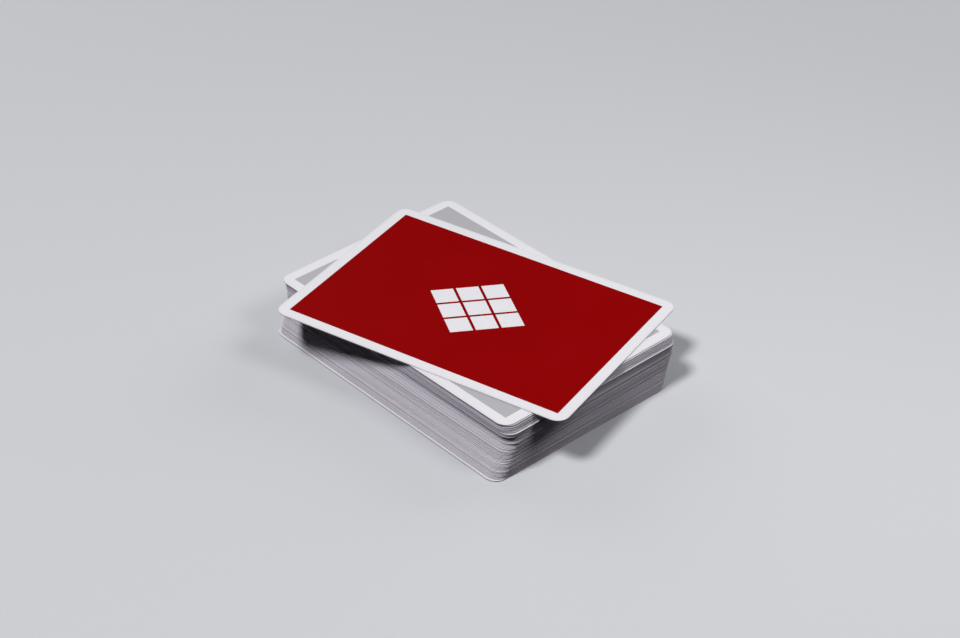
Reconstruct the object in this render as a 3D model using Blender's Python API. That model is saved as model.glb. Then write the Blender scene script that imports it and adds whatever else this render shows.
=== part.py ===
"""Playing card deck: a pack of 52 loose cards lying face down, with its top card turned.

Metres, +Z up. The origin is the middle of the bottom card's face, on the table. +X runs along
the cards' long sides and +Y along their short sides.
"""

import math
import random
from typing import NamedTuple

import bmesh
import bpy
from mathutils import Matrix, Vector


class Place(NamedTuple):
    """Where a card lies on its level of the pack: the shift of its middle and its turn."""

    x: float
    y: float
    turn: float


class Packet(NamedTuple):
    """Neighbouring cards, numbered from the top, that were pushed out of the pack together.

    The push changes evenly from the packet's first card to its last.
    """

    first: int
    last: int
    first_push: Place
    last_push: Place


# One card
CARD_LENGTH = 0.0889
CARD_WIDTH = 0.0635
CARD_THICKNESS = 0.00028
CORNER_RADIUS = 0.0035
CORNER_SEGMENTS = 6

# The suits and ranks, from the top of the pack down
SUITS = ("hearts", "clubs", "diamonds", "spades")
RANKS = (
    "king", "queen", "jack", "ten", "nine", "eight", "seven",
    "six", "five", "four", "three", "two", "ace",
)

# Air that the loose cards trap between them
CARD_GAP = 0.00002

# The bottom card lies square. Above it the pack steps back from the front long side, leans by
# this much over its lower cards, and goes on straight up.
FOOT_STEP = 0.0005
LEAN_X = -0.00103
LEAN_Y = 0.00383
LEAN_TURN = math.radians(1.2)
LEANING_CARDS = 33

# Packets near the top, pushed out of the leaning pack and fanned
PACKETS = (
    Packet(
        3, 10,
        Place(-0.00047, -0.00033, math.radians(-0.7)),
        Place(0.00005, -0.00025, math.radians(-0.7)),
    ),
    Packet(
        11, 14,
        Place(0.0003, -0.0003, math.radians(-0.55)),
        Place(0.0003, -0.0003, math.radians(-0.4)),
    ),
    Packet(
        15, 21,
        Place(0.0, -0.0001, math.radians(-0.4)),
        Place(0.0002, -0.00005, 0.0),
    ),
)

# The most by which a card lies out of line with its neighbours
LOOSE_SHIFT = 0.00005
LOOSE_TURN = math.radians(0.05)
LOOSE_SEED = 52

# The second card, drawn forward over the pack's front long side
SECOND_X = -0.0017
SECOND_Y = 0.0037
SECOND_TURN = math.radians(0.55)

# The top card, turned on the pack
TOP_X = 0.0
TOP_Y = 0.0029
TOP_TURN = math.radians(15.6)

# Coated paper, in the colour of the printed back
RED_BACK = (0.25, 0.002, 0.003, 1.0)
GREY_BACK = (0.43, 0.43, 0.45, 1.0)
PAPER_ROUGHNESS = 0.45

CARD_COUNT = len(SUITS) * len(RANKS)
CARD_PITCH = CARD_THICKNESS + CARD_GAP


def clear_scene():
    """Remove every object, so that the script can be run again."""
    for old in list(bpy.data.objects):
        bpy.data.objects.remove(old, do_unlink=True)


def coated_paper(name, back_colour):
    """Return a card's material, in the colour of its printed back."""
    material = bpy.data.materials.new(name)
    material.use_nodes = True
    shader = material.node_tree.nodes["Principled BSDF"]
    shader.inputs["Base Color"].default_value = back_colour
    shader.inputs["Roughness"].default_value = PAPER_ROUGHNESS
    shader.inputs["Metallic"].default_value = 0.0
    return material


def card_mesh(name, paper):
    """Return a round-cornered card of a paper, lying on z = 0."""
    bm = bmesh.new()
    size = Matrix.Diagonal((CARD_LENGTH, CARD_WIDTH, 1.0, 1.0))
    bmesh.ops.create_grid(bm, x_segments=1, y_segments=1, size=0.5, matrix=size)
    bmesh.ops.bevel(
        bm, geom=bm.verts[:], affect="VERTICES", offset=CORNER_RADIUS, offset_type="OFFSET",
        segments=CORNER_SEGMENTS, profile=0.5, material=-1,
    )
    raised = bmesh.ops.extrude_face_region(bm, geom=bm.faces[:])["geom"]
    top = [item for item in raised if isinstance(item, bmesh.types.BMVert)]
    bmesh.ops.translate(bm, verts=top, vec=Vector((0.0, 0.0, CARD_THICKNESS)))
    bmesh.ops.recalc_face_normals(bm, faces=bm.faces[:])
    mesh = bpy.data.meshes.new(name)
    bm.to_mesh(mesh)
    bm.free()
    mesh.materials.append(paper)
    return mesh


def card_names():
    """Return the cards' names, numbered from the top of the pack down."""
    cards = [f"{rank}_of_{suit}" for suit in SUITS for rank in RANKS]
    return [f"card_{number:02d}_{card}" for number, card in enumerate(cards, start=1)]


def pack_place(number, loose):
    """Return the place of a card of the leaning pack, with its share of the looseness."""
    cards_below = CARD_COUNT - number
    lean = min(1.0, cards_below / LEANING_CARDS)
    x = LEAN_X * lean + loose.uniform(-LOOSE_SHIFT, LOOSE_SHIFT)
    y = LEAN_Y * lean + loose.uniform(-LOOSE_SHIFT, LOOSE_SHIFT) + FOOT_STEP
    turn = LEAN_TURN * lean + loose.uniform(-LOOSE_TURN, LOOSE_TURN)
    for packet in PACKETS:
        if packet.first <= number <= packet.last:
            share = (number - packet.first) / (packet.last - packet.first)
            x += packet.first_push.x + share * (packet.last_push.x - packet.first_push.x)
            y += packet.first_push.y + share * (packet.last_push.y - packet.first_push.y)
            turn += packet.first_push.turn + share * (packet.last_push.turn - packet.first_push.turn)
    return Place(x, y, turn)


def card_places():
    """Return every card's place, from the top of the pack down."""
    loose = random.Random(LOOSE_SEED)
    top = Place(TOP_X, TOP_Y, TOP_TURN)
    second = Place(SECOND_X, SECOND_Y, SECOND_TURN)
    pack = [pack_place(number, loose) for number in range(3, CARD_COUNT)]
    bottom = Place(0.0, 0.0, 0.0)
    return [top, second, *pack, bottom]


def main():
    """Build the deck in its own collection."""
    clear_scene()
    deck = bpy.data.collections.new("playing_card_deck")
    bpy.context.scene.collection.children.link(deck)
    origin = bpy.data.objects.new("deck_origin", None)
    deck.objects.link(origin)

    red = card_mesh("red_card", coated_paper("red_back", RED_BACK))
    grey = card_mesh("grey_card", coated_paper("grey_back", GREY_BACK))

    for number, (name, place) in enumerate(zip(card_names(), card_places()), start=1):
        card = bpy.data.objects.new(name, red if number == 1 else grey)
        card.location = (place.x, place.y, (CARD_COUNT - number) * CARD_PITCH)
        card.rotation_euler = (0.0, 0.0, place.turn)
        card.parent = origin
        deck.objects.link(card)


main()
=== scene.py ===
"""Looks of the playing card deck: 52 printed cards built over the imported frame.

Every card is one cut plate. Its back is split into a white border, a coloured panel and a
diaper of lozenges, its face into pips, indices and bare stock, and its rim is a cut edge.
All lengths are metres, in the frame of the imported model.
"""

import itertools
import logging
import math
import random
from collections.abc import Callable, Sequence
from dataclasses import dataclass, field
from enum import Enum, IntEnum

import bmesh
import bpy
import numpy as np
from bmesh.types import BMEdge, BMesh, BMFace, BMVert
from bpy.types import Material, Mesh, Node, NodeSocket, NodeTree, Object
from mathutils import Matrix, Vector


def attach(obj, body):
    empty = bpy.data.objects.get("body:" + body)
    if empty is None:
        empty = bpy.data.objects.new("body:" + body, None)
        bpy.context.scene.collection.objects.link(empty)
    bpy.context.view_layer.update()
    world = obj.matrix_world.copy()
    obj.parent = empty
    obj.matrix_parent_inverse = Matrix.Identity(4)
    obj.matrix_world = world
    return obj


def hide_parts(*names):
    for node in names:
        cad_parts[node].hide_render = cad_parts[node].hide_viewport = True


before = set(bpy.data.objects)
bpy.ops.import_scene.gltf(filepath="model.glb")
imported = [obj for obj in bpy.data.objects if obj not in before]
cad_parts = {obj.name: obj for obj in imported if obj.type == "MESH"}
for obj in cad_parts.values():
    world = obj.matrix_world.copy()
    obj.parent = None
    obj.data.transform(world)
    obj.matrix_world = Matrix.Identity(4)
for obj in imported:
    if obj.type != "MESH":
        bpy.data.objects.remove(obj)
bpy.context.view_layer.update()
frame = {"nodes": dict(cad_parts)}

LOG = logging.getLogger("playing_card_deck")

Colour = tuple[float, float, float]
Spot = tuple[float, float]
Sockets = dict[str, NodeSocket]
Value = NodeSocket | float | tuple[float, ...]

# Mesh attributes that carry each card's own coordinates, its seed and its edge's tone, which on
# a few cards is dark as painted shade between cards
PLACE_ATTRIBUTE = "card_place"
SEED_ATTRIBUTE = "card_seed"
EDGE_TONE_AND_GAP_SHADE_ATTRIBUTE = "card_edge_tone_and_gap_shade"


class Suit(Enum):
    """The four suits."""

    HEARTS = "hearts"
    CLUBS = "clubs"
    DIAMONDS = "diamonds"
    SPADES = "spades"

    @property
    def is_red(self) -> bool:
        """Say whether the suit is printed in red ink."""
        return self in (Suit.HEARTS, Suit.DIAMONDS)


class Rank(Enum):
    """The thirteen ranks, each with the index in its corners."""

    ACE = "A"
    TWO = "2"
    THREE = "3"
    FOUR = "4"
    FIVE = "5"
    SIX = "6"
    SEVEN = "7"
    EIGHT = "8"
    NINE = "9"
    TEN = "10"
    JACK = "J"
    QUEEN = "Q"
    KING = "K"

    @property
    def pips(self) -> int:
        """Return the number of pips on the face, which is none on a court card."""
        return int(self.value) if self.value.isdigit() else int(self is Rank.ACE)

    @property
    def crown_peaks(self) -> int:
        """Return the number of peaks on a court card's crown."""
        return {Rank.JACK: 3, Rank.QUEEN: 4, Rank.KING: 5}.get(self, 0)


class Back(Enum):
    """The colours that the backs are printed in, named as the record's material slots."""

    RED = "red_back"
    GREY = "grey_back"


class Zone(IntEnum):
    """A card's zones, in the order of its material slots."""

    STOCK = 0
    PANEL = 1
    EDGE = 2
    INK = 3
    GILT = 4


class Nodes:
    """A node tree, with short calls that add nodes and join their sockets."""

    # The Mix node's sockets for colours, which have the same names as those for other types
    MIX_FACTOR, MIX_FIRST, MIX_SECOND, MIX_RESULT = 0, 6, 7, 2

    def __init__(self, tree: NodeTree) -> None:
        """Take the tree that the nodes go into."""
        self.tree = tree

    def put(self, socket: NodeSocket, value: Value) -> None:
        """Give one input its value.

        Args:
            socket: The input.
            value: The input's own value, or a socket to join to it.
        """
        if isinstance(value, NodeSocket):
            self.tree.links.new(value, socket)
        else:
            socket.default_value = value

    def feed(self, node: Node, inputs: dict[str, Value]) -> None:
        """Give a node's inputs their values.

        Args:
            node: The node.
            inputs: Values or sockets, by the input's name.
        """
        for name, value in inputs.items():
            self.put(node.inputs[name], value)

    def add(self, kind: str, inputs: dict[str, Value] | None = None, **settings: object) -> Node:
        """Add a node.

        Args:
            kind: The node's type, without its leading ShaderNode.
            inputs: Values or sockets for the node's inputs, by name.
            settings: The node's own properties.

        Returns:
            The new node.
        """
        node = self.tree.nodes.new("ShaderNode" + kind)
        for name, setting in settings.items():
            setattr(node, name, setting)
        self.feed(node, inputs or {})
        return node

    def calc(self, operation: str, *terms: Value) -> NodeSocket:
        """Add a Math node.

        Args:
            operation: The node's operation.
            terms: Values or sockets, in the order of the node's inputs.

        Returns:
            The result's socket.
        """
        node = self.add("Math", operation=operation)
        for socket, term in zip(node.inputs, terms):
            self.put(socket, term)
        return node.outputs["Value"]

    def mixed(self, mask: NodeSocket, first: Colour, second: Colour) -> NodeSocket:
        """Mix two colours.

        Args:
            mask: The share of the second colour.
            first: The colour where the mask is 0.
            second: The colour where the mask is 1.

        Returns:
            The mixed colour's socket.
        """
        node = self.add("Mix", data_type="RGBA")
        self.put(node.inputs[self.MIX_FACTOR], mask)
        self.put(node.inputs[self.MIX_FIRST], (*first, 1.0))
        self.put(node.inputs[self.MIX_SECOND], (*second, 1.0))
        return node.outputs[self.MIX_RESULT]

    def tinted(self, colour: NodeSocket, tone: NodeSocket) -> NodeSocket:
        """Return a colour made lighter or darker by a tone around one."""
        node = self.add("VectorMath", {"Vector": colour, "Scale": tone}, operation="SCALE")
        return node.outputs["Vector"]

    def noise(
        self, vector: NodeSocket, seed: NodeSocket, scale: float, detail: float,
    ) -> NodeSocket:
        """Add noise around zero, from about minus a half to a half.

        Args:
            vector: The coordinates.
            seed: The card's own place in the fourth dimension.
            scale: Cycles to the metre.
            detail: Octaves.

        Returns:
            The noise's socket.
        """
        inputs = {"Vector": vector, "W": seed, "Scale": scale, "Detail": detail}
        node = self.add("TexNoise", inputs, noise_dimensions="4D")
        return self.calc("SUBTRACT", node.outputs["Fac"], 0.5)


@dataclass
class Effects:
    """The node groups that the finishes share, each built once for a card of this size.

    Scales are cycles to the metre, and weights say how much a noise counts beside the others.
    """

    length: float
    width: float
    cloud_scale: float = 55.0
    cloud_weight: float = 1.4
    tooth_scale: float = 2600.0
    tooth_weight: float = 0.8
    gloss_swing: float = 0.16
    patch_scale: float = 240.0
    ply_squeeze: float = 60.0
    streak_scale: float = 90.0
    drift_scale: float = 38.0
    drift_weight: float = 1.5

    FLOAT = "NodeSocketFloat"
    COLOUR = "NodeSocketColor"

    def __post_init__(self) -> None:
        """Build the groups."""
        self.tooth = self.paper_tooth()
        self.linen = self.linen_finish()
        self.wear = self.rim_wear()
        self.fibres = self.cut_fibres()

    @staticmethod
    def group(
        name: str, inputs: dict[str, str], outputs: dict[str, str],
    ) -> tuple[Nodes, Sockets, Sockets]:
        """Start a node group.

        Args:
            name: The group's name.
            inputs: Socket types by input name.
            outputs: Socket types by output name.

        Returns:
            The group's nodes, the sockets of its inputs and the sockets of its outputs.
        """
        tree = bpy.data.node_groups.new(name, "ShaderNodeTree")
        for way, sockets in (("INPUT", inputs), ("OUTPUT", outputs)):
            for label, kind in sockets.items():
                tree.interface.new_socket(name=label, in_out=way, socket_type=kind)
        source = tree.nodes.new("NodeGroupInput")
        target = tree.nodes.new("NodeGroupOutput")
        return (
            Nodes(tree),
            {label: source.outputs[label] for label in inputs},
            {label: target.inputs[label] for label in outputs},
        )

    @staticmethod
    def own_place(nodes: Nodes) -> tuple[NodeSocket, NodeSocket]:
        """Read what a card's mesh carries.

        Args:
            nodes: The nodes that use it.

        Returns:
            The sockets of the card's own coordinates and of its seed.
        """
        place = nodes.add("Attribute", attribute_name=PLACE_ATTRIBUTE)
        seed = nodes.add("Attribute", attribute_name=SEED_ATTRIBUTE)
        return place.outputs["Vector"], seed.outputs["Fac"]

    def paper_tooth(self) -> NodeTree:
        """Build the group that gives a coated sheet its clouds, tooth and uneven gloss.

        Returns:
            The group.
        """
        nodes, given, out = self.group(
            "paper_tooth",
            {"Colour": self.COLOUR, "Mottle": self.FLOAT, "Roughness": self.FLOAT},
            {"Colour": self.COLOUR, "Roughness": self.FLOAT, "Height": self.FLOAT},
        )
        place, seed = self.own_place(nodes)
        cloud = nodes.noise(place, seed, self.cloud_scale, detail=2.0)
        tooth = nodes.noise(place, seed, self.tooth_scale, detail=3.0)
        clouds = nodes.calc("MULTIPLY", cloud, self.cloud_weight)
        uneven = nodes.calc("MULTIPLY_ADD", tooth, self.tooth_weight, clouds)
        tone = nodes.calc("MULTIPLY_ADD", uneven, given["Mottle"], 1.0)
        gloss = nodes.calc("MULTIPLY", nodes.calc("ADD", cloud, tooth), self.gloss_swing)
        nodes.put(out["Colour"], nodes.tinted(given["Colour"], tone))
        nodes.put(out["Roughness"], nodes.calc("ADD", given["Roughness"], gloss))
        nodes.put(out["Height"], tooth)
        return nodes.tree

    def linen_finish(self) -> NodeTree:
        """Build the group that embosses a fine linen weave along the card's own sides.

        Returns:
            The group.
        """
        nodes, given, out = self.group(
            "linen_finish", {"Pitch": self.FLOAT}, {"Height": self.FLOAT},
        )
        place, _ = self.own_place(nodes)
        axes = nodes.add("SeparateXYZ", {"Vector": place})
        turns = nodes.calc("DIVIDE", math.tau, given["Pitch"])
        threads = [
            nodes.calc("SINE", nodes.calc("MULTIPLY", axes.outputs[axis], turns))
            for axis in ("X", "Y")
        ]
        nodes.put(out["Height"], nodes.calc("MAXIMUM", *threads))
        return nodes.tree

    def rim_wear(self) -> NodeTree:
        """Build the group that masks the outermost rim, where fingers have dulled the card.

        Returns:
            The group.
        """
        nodes, given, out = self.group(
            "rim_wear", {"Reach": self.FLOAT}, {"Mask": self.FLOAT},
        )
        place, seed = self.own_place(nodes)
        axes = nodes.add("SeparateXYZ", {"Vector": place})
        inside = [
            nodes.calc("SUBTRACT", side / 2.0, nodes.calc("ABSOLUTE", axes.outputs[axis]))
            for axis, side in (("X", self.length), ("Y", self.width))
        ]
        depth = nodes.calc("DIVIDE", nodes.calc("MINIMUM", *inside), given["Reach"])
        near = nodes.calc("SUBTRACT", 1.0, nodes.calc("MINIMUM", depth, 1.0))
        patches = nodes.calc("ADD", nodes.noise(place, seed, self.patch_scale, detail=3.0), 0.5)
        nodes.put(out["Mask"], nodes.calc("MULTIPLY", near, patches))
        return nodes.tree

    def cut_fibres(self) -> NodeTree:
        """Build the group that streaks a cut edge along its plies and gives each card's edge its
        own tone, a few edges dark as painted shade between cards.

        Returns:
            The group.
        """
        nodes, given, out = self.group(
            "cut_fibres",
            {"Colour": self.COLOUR, "Streak": self.FLOAT, "Spread": self.FLOAT},
            {"Colour": self.COLOUR, "Height": self.FLOAT},
        )
        place, seed = self.own_place(nodes)
        plies = nodes.add("VectorMath", {"Vector": place}, operation="MULTIPLY")
        nodes.put(plies.inputs[1], (1.0, 1.0, self.ply_squeeze))
        streak = nodes.noise(plies.outputs["Vector"], seed, self.streak_scale, detail=3.0)
        drift = nodes.noise(place, seed, self.drift_scale, detail=2.0)
        # Each card's edge tone: random, and on a few cards dark as painted shade in the gaps
        # between cards
        apart = nodes.add("Attribute", attribute_name=EDGE_TONE_AND_GAP_SHADE_ATTRIBUTE).outputs["Fac"]
        varied = nodes.calc("MULTIPLY_ADD", drift, self.drift_weight, apart)
        tone = nodes.calc("MULTIPLY_ADD", varied, given["Spread"], 1.0)
        streaked = nodes.calc("MULTIPLY_ADD", streak, given["Streak"], tone)
        nodes.put(out["Colour"], nodes.tinted(given["Colour"], streaked))
        nodes.put(out["Height"], streak)
        return nodes.tree


def in_scene(name: str, data: bpy.types.ID) -> Object:
    """Put a mesh, a text, a lamp or a camera in the scene.

    Args:
        name: The object's name.
        data: What the object holds.

    Returns:
        The object, at the origin.
    """
    thing = bpy.data.objects.new(name, data)
    bpy.context.scene.collection.objects.link(thing)
    return thing


def new_material(name: str) -> tuple[Material, Nodes, Node]:
    """Start a material.

    Args:
        name: The material's name.

    Returns:
        The material, its nodes and its shader.
    """
    material = bpy.data.materials.new(name)
    material.use_nodes = True
    tree = material.node_tree
    return material, Nodes(tree), tree.nodes["Principled BSDF"]


@dataclass(frozen=True)
class CoatedPaper:
    """Coated card stock, or the ink on it: a smooth sheet with a fine linen finish."""

    name: str
    colour: Colour
    soil: Colour
    mottle: float
    roughness: float = 0.5
    specular: float = 0.22
    linen_pitch: float = 0.00052
    tooth_height: float = 0.9
    relief: float = 0.000006
    bump: float = 0.6
    wear_reach: float = 0.0009

    def material(self, effects: Effects) -> Material:
        """Build the finish's material.

        Args:
            effects: The shared node groups.

        Returns:
            The material.
        """
        material, nodes, shader = new_material(self.name)
        wear = nodes.add("Group", {"Reach": self.wear_reach}, node_tree=effects.wear)
        linen = nodes.add("Group", {"Pitch": self.linen_pitch}, node_tree=effects.linen)
        worn = nodes.mixed(wear.outputs["Mask"], self.colour, self.soil)
        tooth = nodes.add(
            "Group", {"Colour": worn, "Mottle": self.mottle, "Roughness": self.roughness},
            node_tree=effects.tooth,
        )
        height = nodes.calc(
            "MULTIPLY_ADD", tooth.outputs["Height"], self.tooth_height, linen.outputs["Height"],
        )
        surface = nodes.add(
            "Bump", {"Height": height, "Distance": self.relief, "Strength": self.bump},
        )
        nodes.feed(shader, {
            "Base Color": tooth.outputs["Colour"],
            "Roughness": tooth.outputs["Roughness"],
            "Normal": surface.outputs["Normal"],
            "Specular IOR Level": self.specular,
        })
        return material


@dataclass(frozen=True)
class CutEdge:
    """The bare plies on a card's cut edge."""

    name: str
    colour: Colour
    streak: float
    spread: float
    roughness: float = 0.82
    specular: float = 0.02
    relief: float = 0.00002
    bump: float = 0.5

    def material(self, effects: Effects) -> Material:
        """Build the finish's material.

        Args:
            effects: The shared node groups.

        Returns:
            The material.
        """
        material, nodes, shader = new_material(self.name)
        fibres = nodes.add(
            "Group",
            {"Colour": (*self.colour, 1.0), "Streak": self.streak, "Spread": self.spread},
            node_tree=effects.fibres,
        )
        height = fibres.outputs["Height"]
        surface = nodes.add(
            "Bump", {"Height": height, "Distance": self.relief, "Strength": self.bump},
        )
        nodes.feed(shader, {
            "Base Color": fibres.outputs["Colour"],
            "Roughness": self.roughness,
            "Normal": surface.outputs["Normal"],
            "Specular IOR Level": self.specular,
        })
        return material


Finish = CoatedPaper | CutEdge

WHITE_STOCK = CoatedPaper("white_stock", (0.765, 0.755, 0.79), (0.66, 0.645, 0.66), mottle=0.035)
RED_PANEL = CoatedPaper(
    "red_panel", (0.252, 0.0006, 0.0012), (0.2, 0.002, 0.003), mottle=0.07, specular=0.02,
)
GREY_PANEL = CoatedPaper("grey_panel", (0.435, 0.43, 0.455), (0.38, 0.375, 0.39), mottle=0.04)
RED_INK = CoatedPaper("red_ink", (0.56, 0.012, 0.018), (0.4, 0.02, 0.02), mottle=0.07)
BLACK_INK = CoatedPaper("black_ink", (0.016, 0.016, 0.018), (0.04, 0.04, 0.04), mottle=0.12)
GILT_INK = CoatedPaper("gilt_ink", (0.62, 0.36, 0.06), (0.5, 0.3, 0.08), mottle=0.08)
# The spread sets how far card edges differ in tone, the darkest few being painted shade between
# cards
CUT_EDGE = CutEdge("cut_edge", (0.695, 0.645, 0.755), streak=0.08, spread=0.07)
FINISHES = (WHITE_STOCK, RED_PANEL, GREY_PANEL, RED_INK, BLACK_INK, GILT_INK, CUT_EDGE)


@dataclass(frozen=True)
class Point:
    """A corner of an outline."""

    x: float
    y: float

    def draw(self, bm: BMesh) -> tuple[BMVert, BMVert]:
        """Put the corner in a mesh, and return it as the stroke's start and end."""
        corner = bmesh.ops.create_vert(bm, co=(self.x, self.y, 0.0))["vert"][0]
        return corner, corner


@dataclass(frozen=True)
class Arc:
    """A round stretch of an outline, from one angle to another in degrees."""

    x: float
    y: float
    radius: float
    start: float
    end: float
    step: float = 15.0

    def draw(self, bm: BMesh) -> tuple[BMVert, BMVert]:
        """Spin a vertex into the arc.

        Args:
            bm: The mesh that takes the arc.

        Returns:
            The arc's first and last vertex.
        """
        middle = Vector((self.x, self.y, 0.0))
        turn = math.radians(self.start)
        spoke = self.radius * Vector((math.cos(turn), math.sin(turn), 0.0))
        first = bmesh.ops.create_vert(bm, co=middle + spoke)["vert"][0]
        sweep = self.end - self.start
        spun = bmesh.ops.spin(
            bm, geom=[first], cent=middle, axis=(0.0, 0.0, 1.0),
            angle=math.radians(sweep), steps=max(2, round(abs(sweep) / self.step)),
        )
        return first, next(item for item in spun["geom_last"] if isinstance(item, BMVert))


Outline = list[Point | Arc]


@dataclass
class PrintDies:
    """The dies that print a card: flat shapes of about one unit, upright on their middle."""

    tip: float = 0.5
    lobe: float = 0.255
    lobe_across: float = 0.235
    heart_lobe_up: float = 0.205
    spade_lobe_down: float = 0.115
    leaf: float = 0.235
    leaf_across: float = 0.252
    leaf_down: float = 0.1
    top_leaf_up: float = 0.25
    stem: float = 0.255
    stem_half: float = 0.046
    stem_flare: float = 246.0
    diamond_half: float = 0.37
    crown_valley: float = -0.06
    crown_side: float = 0.4
    index_width: float = 0.75
    index_curve: int = 4
    weld: float = 1e-5
    stroke_weld: float = 1e-4
    dies: dict[str, Mesh] = field(default_factory=dict)

    def slant(self, lobe_height: float) -> float:
        """Return the angle in degrees at which a straight side from the tip meets its lobe.

        Args:
            lobe_height: The lobe's middle, from the pip's middle and away from the tip.

        Returns:
            The angle, from the line across.
        """
        rise = lobe_height + self.tip
        reach = math.hypot(self.lobe_across, rise)
        return math.degrees(math.atan2(self.lobe_across, rise) + math.asin(self.lobe / reach))

    def heart(self) -> Outline:
        """Return the right half of a heart, from its tip up to its cleft.

        Returns:
            The half's strokes.
        """
        start = -self.slant(self.heart_lobe_up)
        cleft = math.degrees(math.acos(-self.lobe_across / self.lobe))
        lobe = Arc(self.lobe_across, self.heart_lobe_up, self.lobe, start, cleft)
        return [Point(0.0, -self.tip), lobe]

    def foot(self, across: float, up: float, radius: float, start: float) -> Outline:
        """Return the lower end of a spade or club.

        Args:
            across: The side lobe's middle, from the axis.
            up: The side lobe's middle, from the pip's middle.
            radius: The side lobe's radius.
            start: The angle at which the lobe's arc starts.

        Returns:
            The lobe's arc, one side of the stem and the middle of its foot.
        """
        end = -math.degrees(math.acos((self.stem_half - across) / radius))
        level = up + radius * math.sin(math.radians(end))
        base = level + self.stem * math.sin(math.radians(self.stem_flare))
        return [
            Arc(across, up, radius, start, end),
            Arc(self.stem_half + self.stem, level, self.stem, 180.0, self.stem_flare),
            Point(0.0, base),
        ]

    def spade(self) -> Outline:
        """Return the right half of a spade, from its tip down to its foot.

        Returns:
            The half's strokes.
        """
        start = self.slant(self.spade_lobe_down)
        foot = self.foot(self.lobe_across, -self.spade_lobe_down, self.lobe, start)
        return [Point(0.0, self.tip), *foot]

    def club(self) -> Outline:
        """Return the right half of a club, from its top down to its foot.

        Returns:
            The half's strokes.
        """
        drop = self.top_leaf_up + self.leaf_down
        apart = math.hypot(self.leaf_across, drop)
        way = math.degrees(math.atan2(-drop, self.leaf_across))
        opening = math.degrees(math.acos(apart / 2.0 / self.leaf))
        top = Arc(0.0, self.top_leaf_up, self.leaf, 90.0, way + opening)
        start = way + 180.0 - opening
        return [top, *self.foot(self.leaf_across, -self.leaf_down, self.leaf, start)]

    def diamond(self) -> Outline:
        """Return the right half of a diamond, from its top down."""
        return [Point(0.0, self.tip), Point(self.diamond_half, 0.0), Point(0.0, -self.tip)]

    def trace(self, bm: BMesh, half: Outline) -> None:
        """Trace one side of a pip, mirror it and fill it.

        Args:
            bm: The mesh that takes the pip.
            half: The strokes of its right half.
        """
        last = None
        for stroke in half:
            first, end = stroke.draw(bm)
            if last is not None:
                bmesh.ops.contextual_create(bm, geom=[last, first])
            last = end
        bmesh.ops.mirror(
            bm, geom=bm.verts[:] + bm.edges[:], matrix=Matrix.Identity(4),
            merge_dist=self.weld, axis="X",
        )
        bmesh.ops.remove_doubles(bm, verts=bm.verts[:], dist=self.stroke_weld)
        bmesh.ops.edgeloop_fill(bm, edges=bm.edges[:])

    def jag(self, bm: BMesh, peaks: int) -> None:
        """Cut a crown with a number of peaks.

        Args:
            bm: The mesh that takes the crown.
            peaks: The number of peaks.
        """
        bmesh.ops.create_grid(bm, x_segments=2 * peaks, y_segments=1, size=0.5)
        top = sorted((v for v in bm.verts if v.co.y > 0.0), key=lambda v: v.co.x)
        for vertex in top[2:-2:2]:
            vertex.co.y = self.crown_valley
        top[0].co.y = top[-1].co.y = self.crown_side

    def write(self, bm: BMesh, text: str) -> None:
        """Write an index one unit tall.

        Args:
            bm: The mesh that takes the index.
            text: The index.
        """
        curve = bpy.data.curves.new(text, "FONT")
        curve.body = text
        curve.resolution_u = self.index_curve
        writing = in_scene(text, curve)
        bpy.context.view_layer.update()
        bm.from_mesh(bpy.data.meshes.new_from_object(writing))
        bpy.data.objects.remove(writing)
        bmesh.ops.remove_doubles(bm, verts=bm.verts[:], dist=self.weld)
        points = np.array([vertex.co for vertex in bm.verts])
        low, high = points.min(axis=0), points.max(axis=0)
        wide, tall = high[0] - low[0], high[1] - low[1]
        scale = Matrix.Diagonal((min(1.0 / tall, self.index_width / wide), 1.0 / tall, 1.0, 1.0))
        centred = Matrix.Translation(-Vector((low + high) / 2.0))
        bmesh.ops.transform(bm, matrix=scale @ centred, verts=bm.verts[:])

    def die(self, name: str, draw: Callable[[BMesh], object]) -> Mesh:
        """Return a die, which is drawn and turned face up when it is first asked for.

        Args:
            name: The die's name.
            draw: The call that draws it in an empty mesh.

        Returns:
            The die's mesh.
        """
        if name not in self.dies:
            bm = bmesh.new()
            draw(bm)
            bmesh.ops.recalc_face_normals(bm, faces=bm.faces[:])
            facing_down = [face for face in bm.faces if face.normal.z < 0.0]
            bmesh.ops.reverse_faces(bm, faces=facing_down)
            self.dies[name] = bpy.data.meshes.new(name)
            bm.to_mesh(self.dies[name])
            bm.free()
        return self.dies[name]

    def pip(self, suit: Suit) -> Mesh:
        """Return a suit's pip.

        Args:
            suit: The suit.

        Returns:
            The die's mesh.
        """
        half = {
            Suit.HEARTS: self.heart, Suit.CLUBS: self.club,
            Suit.DIAMONDS: self.diamond, Suit.SPADES: self.spade,
        }[suit]
        return self.die(suit.value, lambda bm: self.trace(bm, half()))

    def crown(self, peaks: int) -> Mesh:
        """Return a crown with this many peaks, one unit wide."""
        return self.die(f"crown_{peaks}", lambda bm: self.jag(bm, peaks))

    def index(self, rank: Rank) -> Mesh:
        """Return a rank's index, at most three quarters as wide as it is tall."""
        return self.die(rank.value, lambda bm: self.write(bm, rank.value))

    def lozenge(self) -> Mesh:
        """Return a lozenge with diagonals of one unit."""
        shape = {"cap_ends": True, "segments": 4, "radius": 0.5}
        return self.die("lozenge", lambda bm: bmesh.ops.create_circle(bm, **shape))

    def block(self) -> Mesh:
        """Return a square of one unit."""
        shape = {"x_segments": 1, "y_segments": 1, "size": 0.5}
        return self.die("block", lambda bm: bmesh.ops.create_grid(bm, **shape))


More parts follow.
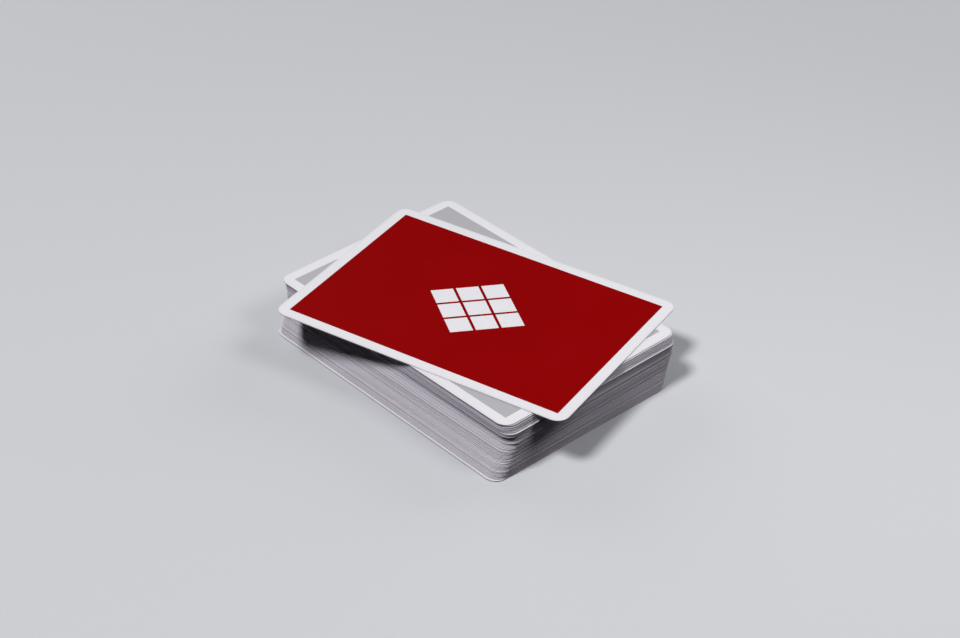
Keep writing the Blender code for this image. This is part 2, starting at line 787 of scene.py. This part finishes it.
@dataclass
class PrintedSide:
    """One side of a card while it is printed: shapes first, then the ground around them.

    The plane turns places across, up and out of the side into the card's own coordinates.
    """

    bm: BMesh
    rim: list[BMEdge]
    plane: Matrix
    outlines: list[BMEdge] = field(default_factory=list)

    def stamp(
        self, die: Mesh, at: Spot, size: Spot, zone: Zone, turned: bool = False,
    ) -> None:
        """Print one shape.

        Args:
            die: The flat shape.
            at: Where its middle goes on the side, across and up.
            size: The lengths of its unit, across and up.
            zone: The zone that it belongs to.
            turned: Whether it stands on its head.
        """
        old = {*self.bm.verts, *self.bm.edges, *self.bm.faces}
        self.bm.from_mesh(die)
        head = Matrix.Rotation(math.pi if turned else 0.0, 4, "Z")
        scale = Matrix.Diagonal((*size, 1.0, 1.0))
        place = self.plane @ Matrix.Translation((*at, 0.0)) @ head @ scale
        verts = [vertex for vertex in self.bm.verts if vertex not in old]
        bmesh.ops.transform(self.bm, matrix=place, verts=verts)
        for face in self.bm.faces:
            if face not in old:
                face.material_index = zone
        self.outlines += [
            edge for edge in self.bm.edges if edge.is_boundary and edge not in old
        ]

    def stamp_ends(self, die: Mesh, at: Spot, size: Spot, zone: Zone) -> None:
        """Print a shape twice, upright for one end of the card and turned for the other.

        Args:
            die: The flat shape.
            at: Where the upright one's middle goes, across and up.
            size: The lengths of its unit, across and up.
            zone: The zone that it belongs to.
        """
        self.stamp(die, at, size, zone)
        self.stamp(die, (-at[0], -at[1]), size, zone, turned=True)

    def frame(self, size: Spot) -> list[BMEdge]:
        """Draw a bare rectangle around the side's middle.

        Args:
            size: Its sides, across and up.

        Returns:
            Its four edges.
        """
        level = Matrix.Rotation(math.pi / 4.0, 4, "Z")
        place = self.plane @ Matrix.Diagonal((*size, 1.0, 1.0)) @ level
        drawn = bmesh.ops.create_circle(self.bm, segments=4, radius=math.sqrt(0.5), matrix=place)
        edges = [edge for vertex in drawn["verts"] for edge in vertex.link_edges]
        return list(dict.fromkeys(edges))

    def ground(self, around: list[BMEdge], zone: Zone, leaving: Sequence[BMEdge] = ()) -> None:
        """Fill what lies inside an outline and outside the shapes printed since the last ground.

        Args:
            around: The outline's edges.
            zone: The zone that the ground belongs to.
            leaving: The edges of an area inside it that is left for a ground of its own.
        """
        filled = bmesh.ops.triangle_fill(
            self.bm, use_beauty=True, use_dissolve=False,
            edges=[*around, *self.outlines, *leaving], normal=self.plane.col[2].to_3d(),
        )
        for face in filled["geom"]:
            if isinstance(face, BMFace):
                face.material_index = zone
        self.outlines.clear()


@dataclass(frozen=True)
class CardSeat:
    """Where a card lies and how large it is, read from its solid."""

    middle: Spot
    level: float
    turn: float
    length: float
    width: float
    height: float

    @classmethod
    def of_node(cls, node: Object) -> "CardSeat":
        """Read a card's seat from its solid's vertices.

        Args:
            node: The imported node.

        Returns:
            The seat.
        """
        points = np.unique(np.round([vertex.co for vertex in node.data.vertices], 7), axis=0)
        low, high = points.min(axis=0), points.max(axis=0)
        middle = (low + high) / 2.0
        x, y = (points - middle).T[:2]
        turn = math.atan2(2.0 * np.dot(x, y), np.dot(x, x) - np.dot(y, y)) / 2.0
        along = x * math.cos(turn) + y * math.sin(turn)
        across = y * math.cos(turn) - x * math.sin(turn)
        return cls(
            (float(middle[0]), float(middle[1])), float(low[2]), turn,
            float(np.ptp(along)), float(np.ptp(across)), float(high[2] - low[2]),
        )


@dataclass
class CardBlank:
    """The blank that every card is cut from, lying on z = 0 with its face down."""

    length: float
    width: float
    thickness: float
    corner_radius: float = 0.0035
    corner_segments: int = 10
    rim_round: float = 0.00002
    rim_segments: int = 2

    @staticmethod
    def sides(bm: BMesh) -> list[BMFace]:
        """Return a blank's two broad sides, the lower one first."""
        broad = sorted(bm.faces, key=BMFace.calc_area)[-2:]
        return sorted(broad, key=lambda side: side.normal.z)

    def cut(self, bm: BMesh) -> tuple[list[BMEdge], list[BMEdge]]:
        """Cut the blank's edge, with both sides still open.

        Args:
            bm: The card's empty mesh.

        Returns:
            The rims of the face, below, and of the back, above.
        """
        size = Matrix.Diagonal((self.length, self.width, 1.0, 1.0))
        bmesh.ops.create_grid(bm, x_segments=1, y_segments=1, size=0.5, matrix=size)
        bmesh.ops.bevel(
            bm, geom=bm.verts[:], affect="VERTICES", offset=self.corner_radius,
            offset_type="OFFSET", segments=self.corner_segments, profile=0.5, material=-1,
        )
        raised = bmesh.ops.extrude_face_region(bm, geom=bm.faces[:])["geom"]
        top = [item for item in raised if isinstance(item, BMVert)]
        bmesh.ops.translate(bm, verts=top, vec=(0.0, 0.0, self.thickness))
        bmesh.ops.recalc_face_normals(bm, faces=bm.faces[:])
        bmesh.ops.bevel(
            bm, geom=[edge for side in self.sides(bm) for edge in side.edges], affect="EDGES",
            offset=self.rim_round, offset_type="OFFSET", segments=self.rim_segments,
            profile=0.5, material=-1,
        )
        for face in bm.faces:
            face.material_index = Zone.EDGE
            face.smooth = True
        below, above = self.sides(bm)
        rims = list(below.edges), list(above.edges)
        bmesh.ops.delete(bm, geom=[below, above], context="FACES_ONLY")
        for edge in itertools.chain(*rims):
            edge.smooth = False
        return rims


@dataclass
class CardBack:
    """The back's print: a panel in a white border, with a diaper of lozenges in its middle."""

    border: float = 0.0031
    lozenge_length: float = 0.0091
    lozenge_width: float = 0.0084
    lozenge_gap: float = 0.0012
    lozenges_a_side: int = 3

    def print_on(self, side: PrintedSide, blank: CardBlank, dies: PrintDies) -> None:
        """Print the back.

        Args:
            side: The card's upper side.
            blank: The card's sizes.
            dies: The flat shapes.
        """
        panel = side.frame((blank.length - 2.0 * self.border, blank.width - 2.0 * self.border))
        side.ground(side.rim, Zone.STOCK, leaving=panel)
        size = (self.lozenge_length, self.lozenge_width)
        apart = 1.0 + self.lozenge_gap / self.lozenge_length
        step_x, step_y = (diagonal * apart / 2.0 for diagonal in size)
        for row, column in itertools.product(range(self.lozenges_a_side), repeat=2):
            across = row + column - (self.lozenges_a_side - 1)
            at = (across * step_x, (row - column) * step_y)
            side.stamp(dies.lozenge(), at, size, Zone.STOCK)
        side.ground(panel, Zone.PANEL)


@dataclass
class CardFace:
    """The face's print: corner indices, and pips or a court card's crowned frame."""

    index_at: Spot = (-0.0265, 0.0362)
    index_size: Spot = (0.0072, 0.0072)
    corner_pip_at: Spot = (-0.0265, 0.0282)
    corner_pip_size: Spot = (0.0056, 0.0056)
    column: float = 0.0135
    row: float = 0.028
    pip_size: Spot = (0.0118, 0.0118)
    ace_size: Spot = (0.026, 0.026)
    court_frame: Spot = (0.0372, 0.067)
    court_line: float = 0.0004
    court_pip_at: Spot = (-0.0118, 0.0258)
    court_pip_size: Spot = (0.0105, 0.0105)
    crown_at: Spot = (0.0, 0.0098)
    crown_size: Spot = (0.021, 0.0112)
    band_at: Spot = (0.0, 0.0026)
    band_size: Spot = (0.021, 0.0018)

    # How high the pips stand in the side columns and in the middle one, by the number of pips,
    # from 1 on the upper row to -1 on the lower
    TWO, THREE, FOUR = (1.0, -1.0), (1.0, 0.0, -1.0), (1.0, 1.0 / 3.0, -1.0 / 3.0, -1.0)
    SIDES = {4: TWO, 5: TWO, 6: THREE, 7: THREE, 8: THREE, 9: FOUR, 10: FOUR}
    MIDDLE = {
        1: (0.0,), 2: TWO, 3: THREE, 5: (0.0,), 7: (0.5,), 8: (0.5, -0.5), 9: (0.0,),
        10: (2.0 / 3.0, -2.0 / 3.0),
    }

    def pip_spots(self, count: int) -> list[Spot]:
        """Lay out a plain card's pips.

        Args:
            count: How many pips the card has.

        Returns:
            The places of their middles, across and up.
        """
        spots = [(across, up) for up in self.SIDES.get(count, ()) for across in (-1.0, 1.0)]
        spots += [(0.0, up) for up in self.MIDDLE.get(count, ())]
        return [(across * self.column, up * self.row) for across, up in spots]

    def print_on(self, side: PrintedSide, rank: Rank, suit: Suit, dies: PrintDies) -> None:
        """Print the face.

        Args:
            side: The card's lower side.
            rank: The card's rank.
            suit: The card's suit.
            dies: The flat shapes.
        """
        pip = dies.pip(suit)
        side.stamp_ends(dies.index(rank), self.index_at, self.index_size, Zone.INK)
        side.stamp_ends(pip, self.corner_pip_at, self.corner_pip_size, Zone.INK)
        if rank.pips:
            size = self.ace_size if rank is Rank.ACE else self.pip_size
            for across, up in self.pip_spots(rank.pips):
                side.stamp(pip, (across, up), size, Zone.INK, turned=up < 0.0)
            side.ground(side.rim, Zone.STOCK)
        else:
            self.print_court(side, pip, dies.crown(rank.crown_peaks), dies.block())

    def print_court(self, side: PrintedSide, pip: Mesh, crown: Mesh, band: Mesh) -> None:
        """Print a court card's frame, and in it a pip, a crown and a band for each end.

        Args:
            side: The card's lower side.
            pip: The suit's pip.
            crown: The rank's crown.
            band: The block that prints the band under the crown.
        """
        wide, tall = self.court_frame
        outer = side.frame((wide, tall))
        inner = side.frame((wide - 2.0 * self.court_line, tall - 2.0 * self.court_line))
        side.ground(side.rim, Zone.STOCK, leaving=outer)
        side.ground(outer, Zone.INK, leaving=inner)
        side.stamp_ends(pip, self.court_pip_at, self.court_pip_size, Zone.INK)
        side.stamp_ends(crown, self.crown_at, self.crown_size, Zone.GILT)
        side.stamp_ends(band, self.band_at, self.band_size, Zone.INK)
        side.ground(inner, Zone.STOCK)


@dataclass
class Deck:
    """The 52 cards, each cut, printed and laid where its solid lies.

    Every card draws a seed for its paper's noise, up to seed_reach, and a tone for its edge,
    which is dark on a few cards as painted shade between them.
    """

    seats: dict[str, CardSeat]
    blank: CardBlank
    effects: Effects
    back: CardBack = field(default_factory=CardBack)
    face: CardFace = field(default_factory=CardFace)
    dies: PrintDies = field(default_factory=PrintDies)
    draws: random.Random = field(default_factory=lambda: random.Random(52))
    seed_reach: float = 50.0
    # How strongly the edge tones lean towards a few dark edges, which are painted shade between
    # cards
    gap_shade_skew: float = 5.0

    # The face looks down, and its upper end lies towards +X
    FACE_PLANE = Matrix(((0, 1, 0, 0), (1, 0, 0, 0), (0, 0, -1, 0), (0, 0, 0, 1)))

    @classmethod
    def on_frame(cls, nodes: dict[str, Object]) -> "Deck":
        """Read the deck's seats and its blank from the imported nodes.

        Args:
            nodes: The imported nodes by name.

        Returns:
            The deck, ready to build.
        """
        seats = {name: CardSeat.of_node(nodes[name]) for name in sorted(nodes)}
        top = next(iter(seats.values()))
        blank = CardBlank(top.length, top.width, top.height)
        return cls(seats, blank, Effects(blank.length, blank.width))

    def build(self) -> list[Object]:
        """Build every card from the top of the pack down.

        Returns:
            The cards.
        """
        materials = {finish: finish.material(self.effects) for finish in FINISHES}
        cards = []
        for number, (node, seat) in enumerate(self.seats.items()):
            _, _, rank_name, _, suit_name = node.split("_")
            rank, suit = Rank[rank_name.upper()], Suit(suit_name)
            back = Back.RED if number == 0 else Back.GREY
            card = self.card(f"{rank_name}_of_{suit_name}", rank, suit, seat)
            for finish in self.finishes(rank, suit, back):
                card.data.materials.append(materials[finish])
            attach(card, node)
            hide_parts(node)
            cards.append(card)
        return cards

    @staticmethod
    def finishes(rank: Rank, suit: Suit, back: Back) -> list[Finish]:
        """Choose a card's finishes.

        Args:
            rank: The card's rank.
            suit: The card's suit.
            back: The colour of its back.

        Returns:
            The finishes, in the order of the card's zones.
        """
        panel = RED_PANEL if back is Back.RED else GREY_PANEL
        ink = RED_INK if suit.is_red else BLACK_INK
        gilding = [GILT_INK] if rank.crown_peaks else []
        return [WHITE_STOCK, panel, CUT_EDGE, ink, *gilding]

    def edge_tone_with_gap_shade(self) -> float:
        """Draw a card's edge tone around zero: most edges are a little lighter, and a few much
        darker as painted shade between cards.
        """
        return 1.0 - (self.gap_shade_skew + 1.0) * self.draws.random() ** self.gap_shade_skew

    def card(self, name: str, rank: Rank, suit: Suit, seat: CardSeat) -> Object:
        """Build one card.

        Args:
            name: The piece's name.
            rank: The card's rank.
            suit: The card's suit.
            seat: Where the card lies.

        Returns:
            The piece, with its place in its mesh.
        """
        bm = bmesh.new()
        below, above = self.blank.cut(bm)
        back_plane = Matrix.Translation((0.0, 0.0, self.blank.thickness))
        self.face.print_on(PrintedSide(bm, below, self.FACE_PLANE), rank, suit, self.dies)
        self.back.print_on(PrintedSide(bm, above, back_plane), self.blank, self.dies)
        place = bm.verts.layers.float_vector.new(PLACE_ATTRIBUTE)
        seed = bm.verts.layers.float.new(SEED_ATTRIBUTE)
        tone = bm.verts.layers.float.new(EDGE_TONE_AND_GAP_SHADE_ATTRIBUTE)
        # The edge tone is random, and on a few cards it is dark as painted shade between cards
        own_seed, own_tone_with_gap_shade = self.draws.uniform(0.0, self.seed_reach), self.edge_tone_with_gap_shade()
        for vertex in bm.verts:
            vertex[place], vertex[seed], vertex[tone] = vertex.co, own_seed, own_tone_with_gap_shade
        bmesh.ops.recalc_face_normals(bm, faces=bm.faces[:])
        laid = Matrix.Translation((*seat.middle, seat.level))
        laid @= Matrix.Rotation(seat.turn, 4, "Z")
        bmesh.ops.transform(bm, matrix=laid, verts=bm.verts[:])
        mesh = bpy.data.meshes.new(name)
        bm.to_mesh(mesh)
        bm.free()
        return in_scene(name, mesh)


def bearing(azimuth: float, elevation: float) -> Matrix:
    """Return the turn of a camera or lamp that looks at the origin from a bearing in degrees."""
    level = Matrix.Rotation(math.pi / 2.0 - math.radians(elevation), 4, "X")
    return Matrix.Rotation(math.radians(azimuth), 4, "Z") @ level


@dataclass(frozen=True)
class Lamp:
    """A round soft lamp, placed by its bearing from the pack."""

    name: str
    azimuth: float
    elevation: float
    level: float
    distance: float = 1.3
    diameter: float = 0.3

    def light(self) -> None:
        """Hang the lamp, at the level that it gives a sheet facing it."""
        lamp = bpy.data.lights.new(self.name, "AREA")
        lamp.shape = "DISK"
        lamp.size = self.diameter
        lamp.energy = self.level * math.pi ** 2 * self.distance ** 2
        away = Matrix.Translation((0.0, 0.0, self.distance))
        in_scene(self.name, lamp).matrix_world = bearing(self.azimuth, self.elevation) @ away


@dataclass
class Studio:
    """The floor, the lamps, the surrounding light and the camera.

    The floor fades into the backdrop between the two distances of floor_fade. The camera is
    placed by its bearing and distance, and aim shifts it across and up in its own plane.
    """

    floor_colour: Colour = (0.6, 0.61, 0.64)
    floor_bounce: Colour = (0.008, 0.008, 0.009)
    floor_roughness: float = 0.9
    floor_size: float = 3.0
    floor_fade: tuple[float, float] = (0.18, 0.55)
    floor_drop: float = 0.00004
    ambient: Colour = (0.004, 0.004, 0.004)
    lamps: tuple[Lamp, ...] = (
        Lamp("key_lamp", -6.5, 62.0, 0.76),
        Lamp("side_lamp", 118.0, 55.0, 0.24, distance=0.36, diameter=0.14),
        Lamp("back_lamp", 178.0, 20.0, 0.28, diameter=0.9),
        Lamp("far_lamp", 260.0, 20.0, 0.26, diameter=0.9),
    )
    azimuth: float = 45.703
    elevation: float = 34.897
    roll: float = 2.17
    distance: float = 0.609406
    aim: Spot = (0.003372, 0.010851)
    lens: float = 83.929
    sensor: float = 36.0
    near_clip: float = 0.01

    def build(self) -> None:
        """Set up the whole studio."""
        self.lay_floor()
        self.light_world()
        for lamp in self.lamps:
            lamp.light()
        self.set_camera()
        bpy.context.scene.view_settings.view_transform = "Standard"

    def lay_floor(self) -> None:
        """Lay a plain floor just under the pack."""
        bm = bmesh.new()
        drop = Matrix.Translation((0.0, 0.0, -self.floor_drop))
        half = self.floor_size / 2.0
        bmesh.ops.create_grid(bm, x_segments=1, y_segments=1, size=half, matrix=drop)
        mesh = bpy.data.meshes.new("floor")
        bm.to_mesh(mesh)
        bm.free()
        mesh.materials.append(self.floor_finish())
        in_scene("floor", mesh)

    def floor_finish(self) -> Material:
        """Build the floor's material.

        It is pale to the eye, throws little light back, and fades into the backdrop.

        Returns:
            The material.
        """
        material, nodes, shader = new_material("pale_floor")
        rays = nodes.add("LightPath").outputs
        shown = nodes.calc("MAXIMUM", rays["Is Camera Ray"], rays["Is Glossy Ray"])
        place = nodes.add("TexCoord").outputs["Object"]
        away = nodes.add("VectorMath", {"Vector": place}, operation="LENGTH").outputs["Value"]
        near, far = self.floor_fade
        fade = nodes.add(
            "MapRange",
            {"Value": away, "From Min": near, "From Max": far, "To Min": 1.0, "To Max": 0.0},
            interpolation_type="SMOOTHSTEP",
        )
        nodes.feed(shader, {
            "Base Color": nodes.mixed(shown, self.floor_bounce, self.floor_colour),
            "Roughness": self.floor_roughness,
            "Specular IOR Level": 0.0,
            "Alpha": fade.outputs["Result"],
        })
        return material

    def light_world(self) -> None:
        """Surround the pack with an even, dim light behind a pale backdrop."""
        world = bpy.data.worlds.new("studio")
        world.use_nodes = True
        nodes = Nodes(world.node_tree)
        shown = nodes.add("LightPath").outputs["Is Camera Ray"]
        colour = nodes.mixed(shown, self.ambient, self.floor_colour)
        nodes.feed(world.node_tree.nodes["Background"], {"Color": colour})
        bpy.context.scene.world = world

    def set_camera(self) -> None:
        """Set the camera at the photograph's angle and framing."""
        data = bpy.data.cameras.new("camera")
        data.lens = self.lens
        data.sensor_fit = "HORIZONTAL"
        data.sensor_width = self.sensor
        data.clip_start = self.near_clip
        camera = in_scene("camera", data)
        rolled = bearing(self.azimuth, self.elevation)
        rolled @= Matrix.Rotation(math.radians(self.roll), 4, "Z")
        camera.matrix_world = rolled @ Matrix.Translation((*self.aim, self.distance))
        bpy.context.scene.camera = camera


def main() -> None:
    """Build the deck and the studio."""
    logging.basicConfig(level=logging.INFO, format="%(message)s")
    for card in Deck.on_frame(frame["nodes"]).build():
        LOG.info("%s: %d faces", card.name, len(card.data.polygons))
    Studio().build()


if __name__ == "__main__":
    main()
